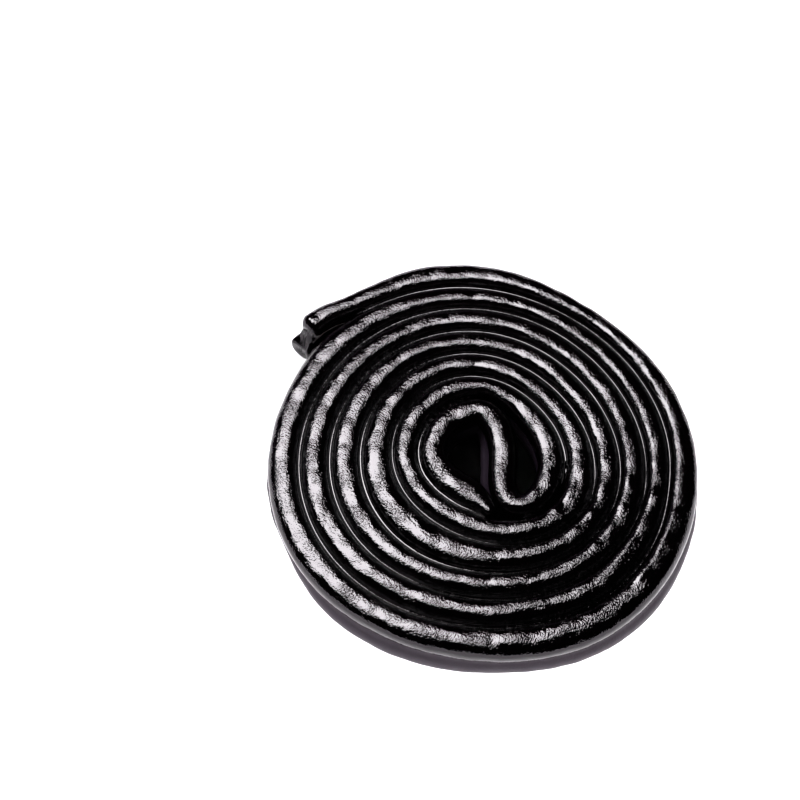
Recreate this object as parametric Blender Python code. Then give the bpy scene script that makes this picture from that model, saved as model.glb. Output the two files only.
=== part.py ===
"""A wheel of licorice lace, lying flat.

One long lace of soft licorice is wound into a flat wheel. The lace is two
round strands pressed out side by side and joined along a waist, and it is
wound standing on edge, so one strand lies on top of the other. The inner end
is folded back on itself, which leaves an open loop in the middle of the wheel.

Units are metres, +Z is up. X is to the right and Y to the back.
"""
import math

import bmesh
import bpy
from mathutils import Vector

MM = 0.001

# The lace
STRAND_HEIGHT = 3.3 * MM
FREE_WIDTH = 3.2 * MM
WAIST_WIDTH_SHARE = 0.66
SECTION_STEP = math.radians(36)
STRAND_ANGLES = 8
TURN_GAP = 0.14 * MM
LOWER_BELOW = 1.3 * STRAND_HEIGHT
LOWER_BLEND = 0.6 * STRAND_HEIGHT

# The winding, counted in turns from the middle: the groove between two turns is a spiral
GROOVE_START = 5.84 * MM
TURN_PITCH = 3.23 * MM
MIDDLE_TURN = 2.8
OUTER_END_TURN = 141.5 / 360 + 5
RINGS_PER_TURN = 40
FREE_UNTIL = 0.05
PRESSED_FROM = 0.20

# How hand winding has pressed the wheel out of round
CENTRE_OFFSET = Vector((0.08, 0.26)) * MM
CENTRE_DRIFT = Vector((-0.26, -0.25)) * MM
OVAL = 0.65 * MM
OVAL_DRIFT = -0.05 * MM
OVAL_AXIS = math.radians(-27)
OVAL_AXIS_DRIFT = math.radians(3.6)
LOBES = 0.27 * MM
LOBE_AXIS = math.radians(-25)

# Places along the winding where a turn is pressed in or out: turn, reach in turns, depth in mm
PRESSED_PLACES = [
    (0.25, 0.05, 0.45), (0.50, 0.08, 0.34), (1.00, 0.06, -0.26), (1.62, 0.12, -0.42),
    (1.93, 0.05, 0.35), (2.69, 0.09, 0.36), (4.86, 0.05, 0.28), (4.98, 0.04, -0.30),
    (5.20, 0.09, -0.36), (5.39, 0.04, 0.40), (5.84, 0.085, 1.00), (6.17, 0.075, -0.95),
    (6.35, 0.03, -0.35),
]

# The outer turn and its end, which lifts off the wheel and has its lower strand torn off longer
OUTER_TURN_LEAN = 0.25 * MM
LEAN_FROM = 4.4
LEAN_FULL = 4.6
TIP_LIFT = 0.9 * MM
TIP_ARC = 14 / 360
LOWER_STRAND_OVERHANG = 2.0 * MM
END_ROUNDING = 0.45 * MM
END_SHRINK = 0.72

# The inner end lies along the inside of the first turn, between these turns
TAIL_FROM = 0.70
TAIL_TO = 0.36
TAIL_STEPS = 6
TAIL_PRESSED_WIDTH = 3.8 * MM
TAIL_WIDENS_FROM = 0.45
TAIL_WIDENS_TO = 0.60

# Places on the route in mm: x, y, width of the lace, how far its lower strand leans to the side
TAIL_END_ROUTE = [(1.4, -6.65, 1.2, 0.0), (0.7, -5.9, 2.1, 0.0), (-0.15, -5.2, 3.1, 0.0)]
FOLD_ROUTE = [
    (-1.7, 6.1, 3.2, 0.0), (0.1, 6.1, 3.2, 0.0), (1.4, 4.65, 3.2, 0.3), (2.2, 2.6, 3.3, 0.8),
    (2.5, 0.3, 3.3, 0.9), (2.5, -1.8, 3.3, 0.8), (2.8, -3.7, 3.1, 0.3), (3.8, -5.3, 3.0, 0.0),
    (5.5, -5.5, 3.0, 0.0), (6.95, -4.1, 3.1, 0.0), (7.85, -2.1, 3.2, 0.0),
]
ROUTE_STEP = 1.15 * MM
LAST_STEP_SHARE = 0.6
SPLINE_SAMPLES = 24

NAME = "licorice_roll"
BLACK = (0.012, 0.009, 0.010, 1.0)
ROUGHNESS = 0.3


def direction(angle):
    """The level unit vector at an angle from +X."""
    return Vector((math.cos(angle), math.sin(angle)))


def groove_radius(turn):
    """Distance from the middle to the groove on the inner side of a turn."""
    angle = math.tau * turn
    drift = turn - MIDDLE_TURN
    centre = CENTRE_OFFSET + CENTRE_DRIFT * drift
    oval_axis = OVAL_AXIS + OVAL_AXIS_DRIFT * drift
    oval = (OVAL + OVAL_DRIFT * drift) * math.cos(2 * (angle - oval_axis))
    lobes = LOBES * math.cos(3 * (angle - LOBE_AXIS))
    radius = GROOVE_START + TURN_PITCH * turn + centre.dot(direction(angle)) + oval + lobes
    for place, reach, depth in PRESSED_PLACES:
        radius += depth * MM * math.exp(-(((turn - place) / reach) ** 2))
    return radius


def ease(value, start, end):
    """A smooth step, 0 before start and 1 after end."""
    share = min(max((value - start) / (end - start), 0.0), 1.0)
    return share * share * (3 - 2 * share)


def turn_place(turn):
    """Middle, width and lean of the lace at a place in the winding."""
    pressed = groove_radius(turn + 1) - groove_radius(turn) - TURN_GAP
    width = FREE_WIDTH + (pressed - FREE_WIDTH) * ease(turn, FREE_UNTIL, PRESSED_FROM)
    lift = TIP_LIFT * ease(turn, OUTER_END_TURN - TIP_ARC, OUTER_END_TURN)
    radius = groove_radius(turn + 1) - (TURN_GAP + width) / 2 + lift
    lean = OUTER_TURN_LEAN * ease(turn, LEAN_FROM, LEAN_FULL)
    return Vector((*(direction(math.tau * turn) * radius), width, lean))


def tail_place(turn):
    """Middle, width and lean of the inner end, against the inside of the first turn."""
    wider = ease(turn, TAIL_WIDENS_FROM, TAIL_WIDENS_TO)
    width = FREE_WIDTH + (TAIL_PRESSED_WIDTH - FREE_WIDTH) * wider
    radius = groove_radius(turn) - (width + TURN_GAP) / 2
    return Vector((*(direction(math.tau * turn) * radius), width, 0.0))


def smooth_curve(points):
    """Close points on a Catmull-Rom curve through the given points."""
    ends = [2 * points[0] - points[1]] + points + [2 * points[-1] - points[-2]]
    curve = []
    for a, b, c, d in zip(ends, ends[1:], ends[2:], ends[3:]):
        for step in range(SPLINE_SAMPLES):
            t = step / SPLINE_SAMPLES
            bend = (2 * a - 5 * b + 4 * c - d) * t * t + (3 * b - a - 3 * c + d) * t * t * t
            curve.append((2 * b + (c - a) * t + bend) / 2)
    return curve + [points[-1]]


def fold_stations():
    """Place and side direction of the lace from its tucked end to the first turn."""
    points = [Vector(point) * MM for point in TAIL_END_ROUTE]
    tail_step = (TAIL_TO - TAIL_FROM) / TAIL_STEPS
    points += [tail_place(TAIL_FROM + tail_step * k) for k in range(TAIL_STEPS + 1)]
    points += [Vector(point) * MM for point in FOLD_ROUTE]
    points += [turn_place(k / RINGS_PER_TURN) for k in (0, 1)]
    curve = smooth_curve(points)

    stations = []
    travelled = ROUTE_STEP
    for before, here, after in zip(curve, curve[1:], curve[2:]):
        travelled += (here - before).xy.length
        if (here - points[-2]).xy.length < LAST_STEP_SHARE * ROUTE_STEP:
            break
        if travelled >= ROUTE_STEP:
            travelled = 0.0
            along = (after - before).xy.normalized()
            stations.append((here, Vector((along.y, -along.x))))
    return stations


def turn_stations():
    """Place and side direction of the lace round the winding."""
    turns = [step / RINGS_PER_TURN for step in range(int(OUTER_END_TURN * RINGS_PER_TURN) + 1)]
    turns.append(OUTER_END_TURN)
    return [(turn_place(turn), direction(math.tau * turn)) for turn in turns]


def lace_section():
    """Outline of the lace: shares of its half width, and heights."""
    half = STRAND_HEIGHT / 2
    height = half / math.sin(2 * SECTION_STEP)
    upper = []
    for step in range(STRAND_ANGLES):
        angle = SECTION_STEP * (step - 1)
        upper.append((math.cos(angle), 3 * half + height * math.sin(angle)))
    waist = (WAIST_WIDTH_SHARE, STRAND_HEIGHT)
    lower = [(-across, 2 * STRAND_HEIGHT - up) for across, up in upper]
    return upper + [(-waist[0], waist[1])] + lower + [waist]


def add_ring(mesh, section, station, shrink=1.0, forward=0.0, overhang=0.0):
    """One outline of the lace, moved along the lace and closed in for the ends."""
    (x, y, width, lean), side = station
    along = Vector((-side.y, side.x))
    ring = []
    for across, up in section:
        lower = 1 - ease(up, LOWER_BELOW - LOWER_BLEND, LOWER_BELOW)
        sideways = across * shrink * width / 2 + lower * lean
        place = Vector((x, y)) + side * sideways + along * (forward + overhang * lower)
        strand_middle = STRAND_HEIGHT * (1.5 if up > STRAND_HEIGHT else 0.5)
        at_waist = up == STRAND_HEIGHT
        height = up if at_waist else strand_middle + (up - strand_middle) * shrink
        ring.append(mesh.verts.new((place.x, place.y, height)))
    return ring


def add_cap(mesh, ring):
    """Faces across an end, in strips between the two sides of the outline."""
    top = STRAND_ANGLES // 2
    left = [ring[top + k] for k in range(len(ring) // 2)]
    right = [ring[top - 1 - k] for k in range(len(ring) // 2)]
    for a, b, c, d in zip(left, left[1:], right[1:], right):
        mesh.faces.new((a, b, c, d))


def build_lace():
    """The lace as one closed solid, standing on the floor with its box centred."""
    section = lace_section()
    stations = fold_stations() + turn_stations()
    mesh = bmesh.new()
    rings = [add_ring(mesh, section, stations[0], END_SHRINK, -END_ROUNDING)]
    rings += [add_ring(mesh, section, station) for station in stations[:-1]]
    rings.append(add_ring(mesh, section, stations[-1], overhang=LOWER_STRAND_OVERHANG))
    rings.append(
        add_ring(mesh, section, stations[-1], END_SHRINK, END_ROUNDING, LOWER_STRAND_OVERHANG)
    )
    for ring, following in zip(rings, rings[1:]):
        for k, vertex in enumerate(ring):
            nearby = (k + 1) % len(ring)
            mesh.faces.new((vertex, ring[nearby], following[nearby], following[k]))
    add_cap(mesh, rings[0])
    add_cap(mesh, rings[-1])
    bmesh.ops.recalc_face_normals(mesh, faces=mesh.faces)
    bmesh.ops.triangulate(mesh, faces=mesh.faces)

    spans = [[vertex.co[axis] for vertex in mesh.verts] for axis in range(2)]
    middle = Vector([(min(span) + max(span)) / 2 for span in spans] + [0.0])
    bmesh.ops.translate(mesh, verts=mesh.verts, vec=-middle)
    return mesh


def licorice_material():
    """Near-black glossy licorice."""
    material = bpy.data.materials.new("licorice")
    material.use_nodes = True
    shader = material.node_tree.nodes["Principled BSDF"]
    shader.inputs["Base Color"].default_value = BLACK
    shader.inputs["Roughness"].default_value = ROUGHNESS
    shader.inputs["Metallic"].default_value = 0.0
    return material


def main():
    for item in list(bpy.data.objects):
        bpy.data.objects.remove(item, do_unlink=True)
    collection = bpy.data.collections.new(NAME)
    bpy.context.scene.collection.children.link(collection)
    data = bpy.data.meshes.new(NAME)
    mesh = build_lace()
    mesh.to_mesh(data)
    mesh.free()
    data.shade_smooth()
    data.set_sharp_from_angle(angle=math.radians(60))
    data.materials.append(licorice_material())
    lace = bpy.data.objects.new(NAME, data)
    collection.objects.link(lace)


main()
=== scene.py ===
"""A wheel of licorice lace on a pale table, under soft studio light."""
import math

import bpy
import numpy as np
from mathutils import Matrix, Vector, noise


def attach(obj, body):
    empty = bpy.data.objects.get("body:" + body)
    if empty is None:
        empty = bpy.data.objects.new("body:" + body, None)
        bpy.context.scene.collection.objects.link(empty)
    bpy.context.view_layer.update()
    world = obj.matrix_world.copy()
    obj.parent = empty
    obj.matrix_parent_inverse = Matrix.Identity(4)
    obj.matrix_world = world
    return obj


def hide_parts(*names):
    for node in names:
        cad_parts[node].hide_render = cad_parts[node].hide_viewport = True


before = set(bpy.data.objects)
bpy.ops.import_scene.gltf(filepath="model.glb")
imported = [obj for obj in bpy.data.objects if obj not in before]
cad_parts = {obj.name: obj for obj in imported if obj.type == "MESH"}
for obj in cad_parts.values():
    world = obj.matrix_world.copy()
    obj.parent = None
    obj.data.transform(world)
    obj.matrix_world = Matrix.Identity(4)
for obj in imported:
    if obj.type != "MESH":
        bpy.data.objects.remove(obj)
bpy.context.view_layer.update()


# The licorice lace: one long lace of soft black licorice, pressed out hot as two round
# strands that stick together along a waist, and wound by hand on edge into a flat wheel.
# The oiled skin is glossy, and finely wrinkled where the winding squeezes it.

# Sizes of the lace, in millimetres until its mesh is made
MM = 0.001
STRAND_HEIGHT = 3.3
FREE_WIDTH = 3.2
RING_SPACING = 0.31
TURN_OVERLAP = 0.03

# The winding, counted in turns from the middle: the groove between two turns is a spiral
GROOVE_START = 5.84
TURN_PITCH = 3.23
MIDDLE_TURN = 2.8
OUTER_END_TURN = 141.5 / 360 + 5
FREE_UNTIL = 0.05
PRESSED_FROM = 0.20

# How hand winding has pressed the wheel out of round
CENTRE_OFFSET = (0.08, 0.26)
CENTRE_DRIFT = (-0.26, -0.25)
OVAL = 0.65
OVAL_DRIFT = -0.05
OVAL_AXIS = math.radians(-27)
OVAL_AXIS_DRIFT = math.radians(3.6)
LOBES = 0.27
LOBE_AXIS = math.radians(-25)

# Places along the winding where a turn is pressed in or out: turn, reach in turns, depth
PRESSED_PLACES = [
    (0.25, 0.05, 0.45), (0.50, 0.08, 0.34), (1.00, 0.06, -0.26), (1.62, 0.12, -0.42),
    (1.93, 0.05, 0.35), (2.69, 0.09, 0.36), (4.86, 0.05, 0.28), (4.98, 0.04, -0.30),
    (5.20, 0.09, -0.36), (5.39, 0.04, 0.40), (5.84, 0.085, 1.00), (6.17, 0.075, -0.95),
    (6.35, 0.03, -0.35),
]

# How far the lower strand of the outer turn leans out, and where it leans more or less
RIM_LEAN = 0.22
LEAN_FROM = 4.4
LEAN_FULL = 4.5
LEAN_PLACES = [(4.575, 0.035, -0.55), (4.68, 0.05, 0.18), (4.79, 0.04, -0.2), (4.90, 0.04, 0.15)]

# The outer end lifts off the wheel, and its lower strand is torn off longer
TIP_LIFT = 0.9
TIP_ARC = 14 / 360
LOWER_STRAND_OVERHANG = 2.0
TEAR_LENGTH = 1.6

# The inner end lies along the inside of the first turn, between these turns
TAIL_FROM = 0.70
TAIL_TO = 0.36
TAIL_STEPS = 6
TAIL_PRESSED_WIDTH = 3.8
TAIL_WIDENS_FROM = 0.45
TAIL_WIDENS_TO = 0.60

# Places on the route: x, y, width of the lace, how far its lower strand leans to the side.
# The fold's last place is the winding's first step, so many turns on.
TAIL_END_ROUTE = [(1.3, -6.65, 1.9, 0.0), (0.6, -5.9, 2.6, 0.0), (-0.15, -5.2, 3.15, 0.0)]
FOLD_ROUTE = [
    (-1.7, 6.1, 3.2, 0.0), (0.1, 6.1, 3.2, 0.0), (1.4, 4.65, 3.2, 0.3), (2.2, 2.6, 3.3, 0.8),
    (2.5, 0.3, 3.3, 0.9), (2.5, -1.8, 3.3, 0.8), (2.8, -3.7, 3.1, 0.3), (3.8, -5.3, 3.0, 0.0),
    (5.5, -5.5, 3.0, 0.0), (6.95, -4.1, 3.1, 0.0), (7.85, -2.1, 3.2, 0.0),
]
FIRST_STEP = 1 / 40
SPLINE_SAMPLES = 24
TURNED_SQUARE_OVER = 3.0
CLOSE_SAMPLES = 8001


def soft_step(value, start, end):
    """0 before start, 1 after end, and smooth between."""
    share = np.clip((np.asarray(value, float) - start) / (end - start), 0.0, 1.0)
    return share * share * (3 - 2 * share)


def outward(turn):
    """Level unit vectors from the wheel's middle towards a turn."""
    angle = math.tau * np.asarray(turn, float)
    return np.stack([np.cos(angle), np.sin(angle)], -1)


def groove_radius(turn):
    """Distance from the middle to the groove on the inner side of a turn."""
    turn = np.asarray(turn, float)
    angle = math.tau * turn
    drift = turn - MIDDLE_TURN
    centre = np.asarray(CENTRE_OFFSET) + np.multiply.outer(drift, CENTRE_DRIFT)
    oval_axis = OVAL_AXIS + OVAL_AXIS_DRIFT * drift
    radius = GROOVE_START + TURN_PITCH * turn + (centre * outward(turn)).sum(-1)
    radius += (OVAL + OVAL_DRIFT * drift) * np.cos(2 * (angle - oval_axis))
    radius += LOBES * np.cos(3 * (angle - LOBE_AXIS))
    for place, reach, depth in PRESSED_PLACES:
        radius += depth * np.exp(-(((turn - place) / reach) ** 2))
    return radius


def wound_places(turn):
    """Middle, width and lean of the lace along the winding."""
    turn = np.asarray(turn, float)
    pressed = groove_radius(turn + 1) - groove_radius(turn) + TURN_OVERLAP
    width = FREE_WIDTH + (pressed - FREE_WIDTH) * soft_step(turn, FREE_UNTIL, PRESSED_FROM)
    lift = TIP_LIFT * soft_step(turn, OUTER_END_TURN - TIP_ARC, OUTER_END_TURN)
    radius = groove_radius(turn + 1) - (width - TURN_OVERLAP) / 2 + lift
    lean = np.full_like(turn, RIM_LEAN)
    for place, reach, depth in LEAN_PLACES:
        lean += depth * np.exp(-(((turn - place) / reach) ** 2))
    lean *= soft_step(turn, LEAN_FROM, LEAN_FULL)
    return np.column_stack([outward(turn) * radius[:, None], width, lean])


def tucked_places(turn):
    """Middle, width and lean of the inner end, against the inside of the first turn."""
    wider = soft_step(turn, TAIL_WIDENS_FROM, TAIL_WIDENS_TO)
    width = FREE_WIDTH + (TAIL_PRESSED_WIDTH - FREE_WIDTH) * wider
    radius = groove_radius(turn) - (width - TURN_OVERLAP) / 2
    return np.column_stack([outward(turn) * radius[:, None], width, np.zeros(len(turn))])


def curve_through(points):
    """Close points on a Catmull-Rom curve from the first point to the last but one."""
    ends = np.vstack([2 * points[0] - points[1], points])
    t = np.arange(SPLINE_SAMPLES)[:, None] / SPLINE_SAMPLES
    spans = []
    for a, b, c, d in zip(ends, ends[1:], ends[2:], ends[3:]):
        bend = (2 * a - 5 * b + 4 * c - d) * t**2 + (3 * b - a - 3 * c + d) * t**3
        spans.append((2 * b + (c - a) * t + bend) / 2)
    return np.vstack(spans)


def length_along(places):
    """Length of the route up to each of its places."""
    steps = np.linalg.norm(np.diff(places[:, :2], axis=0), axis=1)
    return np.concatenate([[0.0], np.cumsum(steps)])


tail = tucked_places(np.linspace(TAIL_FROM, TAIL_TO, TAIL_STEPS + 1))
first_steps = wound_places(np.array([0.0, FIRST_STEP]))
fold = curve_through(np.vstack([TAIL_END_ROUTE, tail, FOLD_ROUTE, first_steps]))
fold_length = length_along(fold)
run = np.arange(0.0, fold_length[-1] - RING_SPACING / 2, RING_SPACING)
fold_places = np.column_stack([np.interp(run, fold_length, fold[:, k]) for k in range(4)])
along = np.gradient(fold_places[:, :2], axis=0)
fold_sides = np.column_stack([along[:, 1], -along[:, 0]])
fold_sides /= np.linalg.norm(fold_sides, axis=1)[:, None]
fold_radius = np.linalg.norm(fold_places[:, :2], axis=1)[:, None]
squared = soft_step(run, run[-1] - TURNED_SQUARE_OVER, run[-1])[:, None]
fold_sides = fold_sides * (1 - squared) + fold_places[:, :2] / fold_radius * squared
fold_sides /= np.linalg.norm(fold_sides, axis=1)[:, None]

close_turns = np.linspace(0.0, OUTER_END_TURN, CLOSE_SAMPLES)
wound_length = length_along(wound_places(close_turns))
wound_rings = int(wound_length[-1] / RING_SPACING) + 1
wound_run = np.linspace(0.0, wound_length[-1], wound_rings)
turns = np.interp(wound_run, wound_length, close_turns)

places = np.vstack([fold_places, wound_places(turns)])
sides = np.vstack([fold_sides, outward(turns)])
run = np.concatenate([run, wound_run + run[-1] + RING_SPACING])

# A side of the lace that leans on its neighbour is pressed flat there. These measures say
# how close the neighbour is: side by side at 0.1 mm, standing free at 0.6 mm.
TOUCHING = 0.1
STANDING_FREE = 0.6
UNWRAP_BEFORE_END = 0.045
UNWRAP_AFTER_END = 0.01


def held_by_first_turn(edge):
    """How firmly points at the fold's edge lie against the inside of the first turn."""
    turn = (np.arctan2(edge[:, 1], edge[:, 0]) / math.tau) % 1.0
    room = groove_radius(turn) - np.linalg.norm(edge, axis=1)
    return 1 - soft_step(room, TOUCHING, STANDING_FREE)


half_widths = fold_places[:, 2:3] / 2
right_edge = fold_places[:, :2] + fold_sides * half_widths
left_edge = fold_places[:, :2] - fold_sides * half_widths
fold_held = [held_by_first_turn(right_edge), held_by_first_turn(left_edge)]

fold_edges = np.vstack([right_edge, left_edge])
first_grooves = outward(turns) * groove_radius(turns)[:, None]
nearest = np.array([np.linalg.norm(fold_edges - point, axis=1).min() for point in first_grooves])
held_inside = np.where(turns > 1.0, 1.0, 1 - soft_step(nearest, TOUCHING, STANDING_FREE))
last_inner_turn = OUTER_END_TURN - 1
held_outside = 1 - soft_step(
    turns, last_inner_turn - UNWRAP_BEFORE_END, last_inner_turn + UNWRAP_AFTER_END
)
held_inside *= 1 - soft_step(turns, OUTER_END_TURN - TIP_ARC, OUTER_END_TURN)
held = [np.concatenate([fold_held[0], held_outside]), np.concatenate([fold_held[1], held_inside])]

# The lace's outline, as shares of its half width and heights: round where it stands free,
# and with a small round hollow down to the groove, and a flat side below that, where it is
# held against its neighbour
STRAND_SQUARENESS = 2.5
HELD_TOP_SHARE = 0.93
FLANK_ANGLE = 21
HOLLOW_RADIUS = 0.25
HOLLOW_STEPS = 4
HELD_FLANK = [(1.0, 4.6), (0.95, 3.7)]
WAIST_SHARE = 0.66
FREE_UPPER_ANGLES = [90, 81, 72, 63, 54, 45, 36, 27, 18, 9, 0, -9, -18, -27, -38]
HELD_UPPER_ANGLES = [90, 81, 72, 63, 54, 45, 36, 28, FLANK_ANGLE]
LOWER_ANGLES = [38, 25, 12, 0, -12, -24, -36, -50, -68, -90]


def strand_outline(angles, middle, reach=1.0):
    """Points on the squarish round of one strand, from its height at the middle."""
    a = np.radians(angles)
    power = 2 / STRAND_SQUARENESS
    across = reach * np.abs(np.cos(a)) ** power
    up = middle + STRAND_HEIGHT / 2 * np.sign(np.sin(a)) * np.abs(np.sin(a)) ** power
    return np.column_stack([across, up])


lower_middle = STRAND_HEIGHT / 2
upper_middle = STRAND_HEIGHT + lower_middle
waist = [(WAIST_SHARE, STRAND_HEIGHT)]
free_half = np.vstack(
    [strand_outline(FREE_UPPER_ANGLES, upper_middle), waist, strand_outline(LOWER_ANGLES, lower_middle)]
)
held_top = strand_outline(HELD_UPPER_ANGLES, upper_middle, HELD_TOP_SHARE)
flank = held_top[-1] - held_top[-2]
steepness = math.atan2(-flank[1], flank[0] * FREE_WIDTH / 2)
hollow_angles = steepness * (1 - np.arange(1, HOLLOW_STEPS + 1) / HOLLOW_STEPS)
hollow_across = HOLLOW_RADIUS * (math.sin(steepness) - np.sin(hollow_angles)) / (FREE_WIDTH / 2)
hollow_down = HOLLOW_RADIUS * (np.cos(hollow_angles) - math.cos(steepness))
hollow = np.column_stack([held_top[-1, 0] + hollow_across, held_top[-1, 1] - hollow_down])
held_top[:, 0] /= hollow[-1, 0]
hollow[:, 0] /= hollow[-1, 0]
held_half = np.vstack(
    [held_top, hollow, HELD_FLANK, waist, strand_outline(LOWER_ANGLES, lower_middle)]
)
bottom = len(free_half) - 1
groove_row = len(held_top) + HOLLOW_STEPS - 1

# Rows of the outline, from the groove up, over which the skin's unevenness sets in, and rows
# at the bottom that stay even
GROOVE_STEADY_ROWS = 7
BOTTOM_EVEN_ROWS = 3

# The skin: slow swellings, lumps and wrinkles, as length along the lace and depth
SWELL_LENGTH, SWELL_DEPTH = 6.0, 0.05
LUMP_LENGTH, LUMP_DEPTH = 2.1, 0.07
WRINKLE_LENGTH, WRINKLE_DEPTH = 0.8, 0.022
WRINKLE_WIDTH = 1.7
LUMP_LAYER = 7.0
WRINKLE_LAYER = 3.0

# Marks of the winding on the top of the lace: length along the lace and place across it, how
# far the mark reaches along and across, and its depth, which is less than 0 for a raised one
MARKS = [
    (341.0, 1.00, 4.2, 0.60, -0.080), (345.8, 0.55, 2.6, 0.20, 0.060), (496.2, 0.35, 0.45, 1.0, 0.090),
    (499.2, 0.90, 1.6, 0.60, -0.060), (326.5, 0.27, 0.5, 0.9, 0.070), (218.4, 0.16, 0.5, 0.8, 0.070),
    (221.8, -0.22, 0.35, 0.6, 0.050), (130.4, -0.32, 0.5, 0.9, 0.090), (134.0, 0.14, 0.4, 0.8, 0.050),
    (64.0, 0.04, 0.6, 0.8, 0.080), (13.4, 0.42, 0.7, 0.9, 0.080), (213.2, -0.11, 0.6, 0.9, 0.070),
    (126.0, -0.53, 0.6, 0.8, 0.080), (462.5, -0.34, 0.3, 0.25, 0.040), (336.0, 0.65, 0.4, 0.3, 0.050),
    (42.5, 0.90, 1.7, 0.55, -0.100), (102.5, 0.95, 2.0, 0.55, -0.110), (181.5, 1.00, 2.0, 0.55, -0.110),
    (34.6, 0.30, 1.0, 1.2, 0.110), (36.2, 0.20, 0.8, 0.9, 0.080), (38.9, 0.00, 0.7, 0.9, 0.070),
    (91.5, 0.25, 0.9, 0.9, 0.100), (94.9, 0.00, 0.9, 0.9, 0.100), (98.0, 0.00, 0.6, 0.8, 0.050),
    (167.1, 0.17, 0.9, 0.9, 0.100), (170.0, 0.30, 0.9, 0.9, 0.090), (174.0, 0.05, 0.9, 0.9, 0.100),
    (263.1, 0.30, 0.9, 0.9, 0.100), (266.4, 0.17, 0.9, 0.9, 0.090), (270.2, 0.10, 1.2, 0.9, 0.100),
    (273.5, -0.1, 0.8, 0.9, 0.100), (386.3, 0.40, 0.9, 0.9, 0.100), (389.7, 0.10, 0.9, 0.9, 0.100),
    (35.0, -0.80, 1.1, 0.60, -0.130), (590.8, 0.20, 1.1, 1.3, -0.240),
]

# Raised marks on the inner shoulder of the lace, which tip its crest outward and so break up
# the gloss there: length along the lace, how far the mark reaches along, and its height
SHOULDER_ACROSS = -0.85
SHOULDER_SPREAD = 0.65
RAISED_SHOULDERS = [
    (90.4, 1.1, 0.140), (93.6, 1.1, 0.140), (166.1, 1.2, 0.140), (168.9, 1.1, 0.140),
    (172.3, 1.1, 0.140), (262.3, 1.1, 0.140), (265.1, 1.2, 0.140), (268.5, 1.2, 0.140),
    (271.7, 1.1, 0.140), (379.4, 1.9, 0.140), (381.9, 1.9, 0.140), (384.4, 1.2, 0.140),
    (388.3, 1.2, 0.140), (96.8, 0.6, 0.140), (524.3, 2.0, 0.140), (521.8, 2.0, 0.140),
    (519.1, 2.2, 0.140), (516.4, 2.2, 0.140), (529.0, 1.8, 0.140), (392.6, 0.9, 0.130),
    (175.8, 0.7, 0.130), (534.5, 2.0, 0.100), (396.5, 1.2, 0.090), (277.0, 1.3, 0.090),
]
MARKS += [(place, SHOULDER_ACROSS, reach, SHOULDER_SPREAD, -up) for place, reach, up in RAISED_SHOULDERS]
MARK_GONE_PAST = 3


def skin_relief(along, around):
    """How far the skin stands out at a place on the lace."""
    swell = noise.noise((along / SWELL_LENGTH, around / SWELL_LENGTH, 0.0)) * SWELL_DEPTH
    lump = noise.noise((along / LUMP_LENGTH, around / LUMP_LENGTH, LUMP_LAYER)) * LUMP_DEPTH
    wrinkle = noise.noise((along / WRINKLE_LENGTH, around / WRINKLE_WIDTH, WRINKLE_LAYER)) * WRINKLE_DEPTH
    marks = 0.0
    for place, across, reach, spread, depth in MARKS:
        if abs(along - place) < MARK_GONE_PAST * reach:
            away = ((along - place) / reach) ** 2 + ((around - across) / spread) ** 2
            marks += depth * math.exp(-away)
    return swell + lump + wrinkle - marks


def ring_outline(k):
    """Across and up, in millimetres, and place around the outline, at one station."""
    halves = []
    for side in range(2):
        share = held[side][k]
        half = free_half * (1 - share) + held_half * share
        half = half * (places[k, 2] / 2, 1.0)
        steps = np.linalg.norm(np.diff(half, axis=0), axis=1)
        around = np.concatenate([[0.0], np.cumsum(steps)])
        slope = np.gradient(half, axis=0)
        facing = np.column_stack([-slope[:, 1], slope[:, 0]])
        facing /= np.linalg.norm(facing, axis=1)[:, None]
        facing[0] = (0.0, 1.0)
        rows = np.arange(len(half))
        loose = 1 - share * soft_step(rows, groove_row - GROOVE_STEADY_ROWS, groove_row - 1)
        loose[bottom - BOTTOM_EVEN_ROWS:] = 0.0
        direction = 1 if side == 0 else -1
        relief = np.array([skin_relief(run[k], direction * a) for a in around])
        half = half + facing * (relief * loose)[:, None]
        halves.append((half * (direction, 1.0), around * direction))
    (right, right_around), (left, left_around) = halves
    outline = np.vstack([right, left[-2:0:-1]])
    return outline, np.concatenate([right_around, left_around[-2:0:-1]]), left_around[-1]


# The lean and the tear are the lower strand's: full below the first height, none above the
# second, as shares of a strand's height
ALL_LOWER_STRAND = 0.7
ALL_UPPER_STRAND = 1.3

rings = []
ring_around = []
bottom_around = []
tear = soft_step(run, run[-1] - TEAR_LENGTH, run[-1])
for k in range(len(run)):
    outline, around, left_bottom = ring_outline(k)
    strands_up = outline[:, 1] / STRAND_HEIGHT
    lower = 1 - soft_step(strands_up, ALL_LOWER_STRAND, ALL_UPPER_STRAND)
    sideways = outline[:, 0] + lower * places[k, 3]
    forward = LOWER_STRAND_OVERHANG * lower * tear[k]
    travel = np.array([-sides[k, 1], sides[k, 0]])
    level = places[k, :2] + sideways[:, None] * sides[k] + forward[:, None] * travel
    rings.append(np.column_stack([level, outline[:, 1]]))
    ring_around.append(around)
    bottom_around.append(left_bottom)

# Each end is closed by a few smaller rings that go past it: share of its size, and how far past
END_ROUNDS = [(0.94, 0.22), (0.80, 0.40), (0.55, 0.46)]


def closed_end(ring, travel):
    """Smaller and smaller rings past the end of the lace."""
    upper = ring[:, 2] > STRAND_HEIGHT
    strand_middle = np.where(upper, upper_middle, lower_middle)
    middle = (ring[0, :2] + ring[bottom, :2]) / 2
    closing = []
    for share, forward in END_ROUNDS:
        smaller = ring.copy()
        smaller[:, :2] = middle + (ring[:, :2] - middle) * share + travel * forward
        smaller[:, 2] = strand_middle + (ring[:, 2] - strand_middle) * share
        closing.append(smaller)
    return closing


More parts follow.
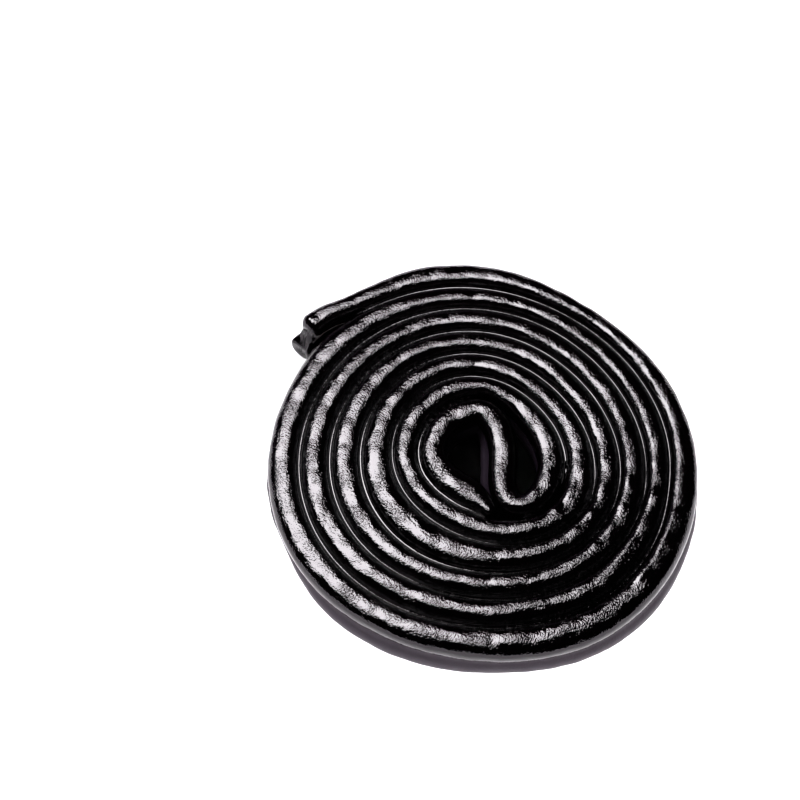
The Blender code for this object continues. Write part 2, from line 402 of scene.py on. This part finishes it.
outer_travel = np.array([-sides[-1, 1], sides[-1, 0]])
inner_travel = np.array([sides[0, 1], -sides[0, 0]])
outer_end = closed_end(rings[-1], outer_travel)
inner_end = closed_end(rings[0], inner_travel)[::-1]
extra = len(END_ROUNDS)
all_rings = np.array(inner_end + rings + outer_end)
all_around = np.array([ring_around[0]] * extra + ring_around + [ring_around[-1]] * extra)
all_bottom = np.array([bottom_around[0]] * extra + bottom_around + [bottom_around[-1]] * extra)
end_runs = np.array([forward for share, forward in END_ROUNDS])
all_run = np.concatenate([run[0] - end_runs[::-1], run, run[-1] + end_runs])

# The wheel's box is centred over the frame's origin
every_point = all_rings.reshape(-1, 3)
shift = (every_point[:, :2].min(0) + every_point[:, :2].max(0)) / 2
all_rings[:, :, :2] -= shift

# The skin between the rings is made of four-sided faces. Each end is closed across from left
# to right, where the first and the last face have only three corners.
count = all_rings.shape[1]
faces = []
for k in range(len(all_rings) - 1):
    for j in range(count):
        after = (j + 1) % count
        faces.append((k * count + j, k * count + after, (k + 1) * count + after, (k + 1) * count + j))
for ring_start, flip in ((0, False), ((len(all_rings) - 1) * count, True)):
    for j in range(bottom):
        left_a, left_b = ring_start + (count - j) % count, ring_start + (count - j - 1) % count
        right_a, right_b = ring_start + j, ring_start + j + 1
        corners = list(dict.fromkeys([left_a, left_b, right_b, right_a]))
        faces.append(corners[::-1] if flip else corners)

lace_mesh = bpy.data.meshes.new("licorice_lace")
lace_mesh.from_pydata((all_rings.reshape(-1, 3) * MM).tolist(), [], faces)
lace_mesh.validate()

# The skin's map, in millimetres: along the lace, and around it from the crest
uv = lace_mesh.uv_layers.new(name="lace")
loop_vertex = np.empty(len(lace_mesh.loops), np.int64)
lace_mesh.loops.foreach_get("vertex_index", loop_vertex)
loop_ring, loop_place = np.divmod(loop_vertex, count)
loop_around = all_around[loop_ring, loop_place]
loop_face = np.repeat(np.arange(len(lace_mesh.polygons)), [p.loop_total for p in lace_mesh.polygons])
left_face = np.zeros(len(lace_mesh.polygons), bool)
np.logical_or.at(left_face, loop_face, loop_place > bottom)
at_bottom = (loop_place == bottom) & left_face[loop_face]
loop_around[at_bottom] = all_bottom[loop_ring[at_bottom]]
uv.data.foreach_set("uv", np.column_stack([all_run[loop_ring], loop_around]).ravel())

# Sharp edges stay only along the grooves and on the lace's two ends
GROOVE_EDGE_ANGLE = math.radians(55)

lace_mesh.shade_smooth()
lace_mesh.set_sharp_from_angle(angle=GROOVE_EDGE_ANGLE)
edge_corners = np.empty(2 * len(lace_mesh.edges), np.int64)
lace_mesh.edges.foreach_get("vertices", edge_corners)
edge_ring, edge_place = np.divmod(edge_corners.reshape(-1, 2), count)
in_groove = np.isin(edge_place, (groove_row, count - groove_row)).all(axis=1)
on_end = ((edge_ring <= extra) | (edge_ring >= len(all_rings) - 1 - extra)).all(axis=1)
sharp = np.empty(len(lace_mesh.edges), bool)
lace_mesh.attributes["sharp_edge"].data.foreach_get("value", sharp)
lace_mesh.attributes["sharp_edge"].data.foreach_set("value", sharp & (in_groove | on_end))

lace = bpy.data.objects.new("licorice_lace", lace_mesh)
bpy.context.collection.objects.link(lace)

# Licorice: near-black with a breath of purple brown, and glossy with oil
LICORICE_DARK = (0.0002, 0.0001, 0.00015, 1.0)
LICORICE_WARM = (0.0008, 0.0004, 0.0006, 1.0)
OILY_SHEEN = (1.0, 0.96, 1.0, 1.0)
LICORICE_IOR = 1.5
MOST_GLOSSY = 0.03
LEAST_GLOSSY = 0.09

# Noises over the skin, as features a millimetre along the lace and across it: the grain of
# fine wrinkles that runs slantwise across the lace, how rough it is from place to place, the
# puckers under it, and the patches of tone and gloss
GRAIN_ALONG = 5.2
GRAIN_ACROSS = 3.6
GRAIN_SLANT = math.radians(25)
GRAIN_PATCH_ALONG = 0.4
GRAIN_PATCH_ACROSS = 0.7
PUCKERS = 1.5
TONE_PATCHES = 0.9
GLOSS_PATCHES = 1.3
NOISE_ROUGHNESS = 0.6

# How deep the grain and the puckers are. The grain is shallow or deep in patches, and fades
# between two distances from the crest to a small share that is left on the lace's sides.
GRAIN_DEPTH = 0.065 * MM
PUCKER_DEPTH = 0.03 * MM
PATCH_NOISE_LOW = 0.35
PATCH_NOISE_HIGH = 0.65
SHALLOW_GRAIN = 0.35
DEEP_GRAIN = 1.65
GRAIN_FADES_FROM = 1.45
GRAIN_FADED_AT = 2.0
GRAIN_ON_SIDES = 0.12

# The lower strand is duller, and its colour is mixed towards a greyish lilac, a painted reflection of the
# pale table in its side:
# how far round from the crest that begins and is full, and where along the lace it ends, before the
# glossy torn end
DULL_FROM = 3.2
DULLEST_AT = 4.4
LOWER_STRAND_DULLNESS_AND_SHEEN = 0.42
LOWER_STRAND_PAINTED_SHEEN = (0.024, 0.0155, 0.026, 1.0)
DULL_UNTIL = 580.0
TORN_END_FROM = 586.0

licorice = bpy.data.materials.new("licorice")
licorice.use_nodes = True
nodes = licorice.node_tree.nodes
links = licorice.node_tree.links
shader = nodes["Principled BSDF"]
shader.inputs["Metallic"].default_value = 0.0
shader.inputs["IOR"].default_value = LICORICE_IOR
shader.inputs["Specular Tint"].default_value = OILY_SHEEN

place_on_lace = nodes.new("ShaderNodeUVMap")
place_on_lace.uv_map = "lace"


def skin_noise(along, across, detail, slant=0.0):
    """A noise over the skin, with so many features a millimetre along and across the lace."""
    scaled = nodes.new("ShaderNodeMapping")
    scaled.vector_type = "TEXTURE"
    scaled.inputs["Rotation"].default_value = (0.0, 0.0, slant)
    scaled.inputs["Scale"].default_value = (1 / along, 1 / across, 1.0)
    links.new(place_on_lace.outputs["UV"], scaled.inputs["Vector"])
    texture = nodes.new("ShaderNodeTexNoise")
    texture.inputs["Scale"].default_value = 1.0
    texture.inputs["Detail"].default_value = detail
    texture.inputs["Roughness"].default_value = NOISE_ROUGHNESS
    links.new(scaled.outputs["Vector"], texture.inputs["Vector"])
    return texture.outputs["Fac"]


def raised(height, depth, under=None):
    """A bump of that depth, on top of another one."""
    bump = nodes.new("ShaderNodeBump")
    bump.inputs["Strength"].default_value = 1.0
    bump.inputs["Distance"].default_value = depth
    links.new(height, bump.inputs["Height"])
    if under:
        links.new(under, bump.inputs["Normal"])
    return bump.outputs["Normal"]


split = nodes.new("ShaderNodeSeparateXYZ")
links.new(place_on_lace.outputs["UV"], split.inputs["Vector"])
from_crest = nodes.new("ShaderNodeMath")
from_crest.operation = "ABSOLUTE"
links.new(split.outputs["Y"], from_crest.inputs[0])
on_top = nodes.new("ShaderNodeMapRange")
on_top.interpolation_type = "SMOOTHSTEP"
on_top.inputs["From Min"].default_value = GRAIN_FADES_FROM
on_top.inputs["From Max"].default_value = GRAIN_FADED_AT
on_top.inputs["To Min"].default_value = 1.0
on_top.inputs["To Max"].default_value = GRAIN_ON_SIDES
links.new(from_crest.outputs["Value"], on_top.inputs["Value"])
rough_here = nodes.new("ShaderNodeMapRange")
rough_here.inputs["From Min"].default_value = PATCH_NOISE_LOW
rough_here.inputs["From Max"].default_value = PATCH_NOISE_HIGH
rough_here.inputs["To Min"].default_value = SHALLOW_GRAIN
rough_here.inputs["To Max"].default_value = DEEP_GRAIN
grain_patches = skin_noise(GRAIN_PATCH_ALONG, GRAIN_PATCH_ACROSS, detail=1.0)
links.new(grain_patches, rough_here.inputs["Value"])
grain_share = nodes.new("ShaderNodeMath")
grain_share.operation = "MULTIPLY"
links.new(on_top.outputs["Result"], grain_share.inputs[0])
links.new(rough_here.outputs["Result"], grain_share.inputs[1])
grain_height = nodes.new("ShaderNodeMath")
grain_height.operation = "MULTIPLY"
fine_wrinkles = skin_noise(GRAIN_ALONG, GRAIN_ACROSS, detail=1.0, slant=GRAIN_SLANT)
links.new(fine_wrinkles, grain_height.inputs[0])
links.new(grain_share.outputs["Value"], grain_height.inputs[1])

puckers = raised(skin_noise(PUCKERS, PUCKERS, detail=2.0), PUCKER_DEPTH)
grain = raised(grain_height.outputs["Value"], GRAIN_DEPTH, puckers)
links.new(grain, shader.inputs["Normal"])

tone = nodes.new("ShaderNodeValToRGB")
tone.color_ramp.elements[0].color = LICORICE_DARK
tone.color_ramp.elements[1].color = LICORICE_WARM
links.new(skin_noise(TONE_PATCHES, TONE_PATCHES, detail=3.0), tone.inputs["Fac"])

gloss = nodes.new("ShaderNodeMapRange")
gloss.inputs["To Min"].default_value = MOST_GLOSSY
gloss.inputs["To Max"].default_value = LEAST_GLOSSY
links.new(skin_noise(GLOSS_PATCHES, GLOSS_PATCHES, detail=2.0), gloss.inputs["Value"])
duller_and_sheen = nodes.new("ShaderNodeMapRange")
duller_and_sheen.interpolation_type = "SMOOTHSTEP"
duller_and_sheen.inputs["From Min"].default_value = DULL_FROM
duller_and_sheen.inputs["From Max"].default_value = DULLEST_AT
duller_and_sheen.inputs["To Min"].default_value = 0.0
duller_and_sheen.inputs["To Max"].default_value = LOWER_STRAND_DULLNESS_AND_SHEEN
links.new(from_crest.outputs["Value"], duller_and_sheen.inputs["Value"])
before_torn_end = nodes.new("ShaderNodeMapRange")
before_torn_end.inputs["From Min"].default_value = DULL_UNTIL
before_torn_end.inputs["From Max"].default_value = TORN_END_FROM
before_torn_end.inputs["To Min"].default_value = 1.0
before_torn_end.inputs["To Max"].default_value = 0.0
links.new(split.outputs["X"], before_torn_end.inputs["Value"])
dull_and_painted_sheen = nodes.new("ShaderNodeMath")
dull_and_painted_sheen.operation = "MULTIPLY"
links.new(duller_and_sheen.outputs["Result"], dull_and_painted_sheen.inputs[0])
links.new(before_torn_end.outputs["Result"], dull_and_painted_sheen.inputs[1])
roughness = nodes.new("ShaderNodeMath")
roughness.operation = "ADD"
links.new(dull_and_painted_sheen.outputs["Value"], roughness.inputs[0])
links.new(gloss.outputs["Result"], roughness.inputs[1])
links.new(roughness.outputs["Value"], shader.inputs["Roughness"])
# Painted reflection: on the lower strand the colour turns greyish lilac, which stands for the pale table
# mirrored in it
skin_colour = nodes.new("ShaderNodeMix")
skin_colour.data_type = "RGBA"
skin_colour.inputs["B"].default_value = LOWER_STRAND_PAINTED_SHEEN
links.new(dull_and_painted_sheen.outputs["Value"], skin_colour.inputs["Factor"])
links.new(tone.outputs["Color"], skin_colour.inputs["A"])
links.new(skin_colour.outputs["Result"], shader.inputs["Base Color"])
lace_mesh.materials.append(licorice)

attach(lace, "root")
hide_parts("licorice_roll")


# The table: a plain pale board under the wheel.
# It isn't part of the licorice.
TABLE_SIZE = 6.0
TABLE_COLOUR = (0.80, 0.79, 0.80, 1.0)
TABLE_ROUGHNESS = 0.9
TABLE_GLOSS = 0.1

bpy.ops.mesh.primitive_plane_add(size=TABLE_SIZE, location=(0.0, 0.0, 0.0))
table = bpy.context.object
table.name = "table"
pale = bpy.data.materials.new("pale_board")
pale.use_nodes = True
board = pale.node_tree.nodes["Principled BSDF"]
board.inputs["Base Color"].default_value = TABLE_COLOUR
board.inputs["Roughness"].default_value = TABLE_ROUGHNESS
board.inputs["Specular IOR Level"].default_value = TABLE_GLOSS
table.data.materials.append(pale)


# Studio light: an oval soft box close above the wheel and to its back left, for the gloss
# alone, and light from low down all round, which makes the table white. The gloss also shows
# the room: lilac grey walls, which stand higher towards the back left, and a dim ceiling.
BOX_MIDDLE = (-0.049, 0.027, 0.10)
BOX_LENGTH = 0.124
BOX_DEPTH = 0.080
BOX_TURN = math.radians(-20)
BOX_BRIGHTNESS = 14.8
LOW_LIGHT = (11.0, 10.8, 11.0, 1.0)
LOW_LIGHT_TOP = 0.52
LOW_LIGHT_SOFTNESS = 0.05
ROOM_WALLS = (0.26, 0.205, 0.28, 1.0)
WALL_SIDE = (-0.24, 0.17, 0.0)
WALL_SOFTNESS = 0.10
ROOM_ABOVE = (0.012, 0.011, 0.0125, 1.0)
DARK = (0.0, 0.0, 0.0, 1.0)
BACKDROP = (1.0, 1.0, 1.0, 1.0)

box_light = bpy.data.lights.new("soft_box", "AREA")
box_light.shape = "ELLIPSE"
box_light.size = BOX_LENGTH
box_light.size_y = BOX_DEPTH
box_area = math.pi / 4 * BOX_LENGTH * BOX_DEPTH
box_light.energy = BOX_BRIGHTNESS * math.pi * box_area
box_light.cycles.max_bounces = 0
soft_box = bpy.data.objects.new("soft_box", box_light)
soft_box.location = BOX_MIDDLE
soft_box.rotation_euler = (0.0, 0.0, BOX_TURN)
soft_box.visible_camera = False
bpy.context.collection.objects.link(soft_box)
lit_by_box = bpy.data.collections.new("lit_by_soft_box")
lit_by_box.objects.link(lace)
soft_box.light_linking.receiver_collection = lit_by_box

world = bpy.data.worlds.new("studio")
world.use_nodes = True
bpy.context.scene.world = world
sky = world.node_tree.nodes
sky_links = world.node_tree.links
looking = sky.new("ShaderNodeTexCoord")
height = sky.new("ShaderNodeSeparateXYZ")
sky_links.new(looking.outputs["Generated"], height.inputs["Vector"])
towards_walls = sky.new("ShaderNodeVectorMath")
towards_walls.operation = "DOT_PRODUCT"
towards_walls.inputs[1].default_value = WALL_SIDE
sky_links.new(looking.outputs["Generated"], towards_walls.inputs[0])
above_walls = sky.new("ShaderNodeMath")
above_walls.operation = "SUBTRACT"
sky_links.new(height.outputs["Z"], above_walls.inputs[0])
sky_links.new(towards_walls.outputs["Value"], above_walls.inputs[1])


def banded(measure, top, softness, low, high):
    """One colour where a measure is below its top, and another above."""
    share = sky.new("ShaderNodeMapRange")
    share.interpolation_type = "SMOOTHSTEP"
    share.inputs["From Min"].default_value = top - softness
    share.inputs["From Max"].default_value = top + softness
    sky_links.new(measure, share.inputs["Value"])
    blend = sky.new("ShaderNodeMix")
    blend.data_type = "RGBA"
    blend.inputs["A"].default_value = low
    blend.inputs["B"].default_value = high
    sky_links.new(share.outputs["Result"], blend.inputs["Factor"])
    return blend.outputs["Result"]


ray = sky.new("ShaderNodeLightPath")


def chosen(ray_kind, others, these):
    """One background for a kind of ray, and another for the rest."""
    mixed = sky.new("ShaderNodeMixShader")
    sky_links.new(ray.outputs[ray_kind], mixed.inputs["Fac"])
    sky_links.new(others, mixed.inputs[1])
    sky_links.new(these, mixed.inputs[2])
    return mixed.outputs["Shader"]


room = sky["Background"]
walls = banded(above_walls.outputs["Value"], 0.0, WALL_SOFTNESS, ROOM_WALLS, ROOM_ABOVE)
sky_links.new(walls, room.inputs["Color"])
low_light = sky.new("ShaderNodeBackground")
light_band = banded(height.outputs["Z"], LOW_LIGHT_TOP, LOW_LIGHT_SOFTNESS, LOW_LIGHT, DARK)
sky_links.new(light_band, low_light.inputs["Color"])
backdrop = sky.new("ShaderNodeBackground")
backdrop.inputs["Color"].default_value = BACKDROP
seen = chosen("Is Diffuse Ray", room.outputs["Background"], low_light.outputs["Background"])
seen = chosen("Is Camera Ray", seen, backdrop.outputs["Background"])
sky_links.new(seen, sky["World Output"].inputs["Surface"])

# The picture is contrasty: deep blacks and a white table
bpy.context.scene.view_settings.view_transform = "Standard"
bpy.context.scene.view_settings.look = "High Contrast"


# The camera: in front of the wheel and high above it, with a long lens. It isn't part of
# the licorice.
CAMERA_PLACE = Vector((-0.2625, -174.4663, 387.18)) * MM
CAMERA_TARGET = Vector((-10.0425, 6.9837, 5.0)) * MM
LENS = 163.3
SENSOR = 36.0
NEAREST_SEEN = 10 * MM
FARTHEST_SEEN = 20.0

camera_data = bpy.data.cameras.new("camera")
camera_data.lens = LENS
camera_data.sensor_width = SENSOR
camera_data.clip_start = NEAREST_SEEN
camera_data.clip_end = FARTHEST_SEEN
camera = bpy.data.objects.new("camera", camera_data)
camera.location = CAMERA_PLACE
camera.rotation_mode = "QUATERNION"
camera.rotation_quaternion = (CAMERA_TARGET - CAMERA_PLACE).to_track_quat("-Z", "Y")
bpy.context.collection.objects.link(camera)
bpy.context.scene.camera = camera
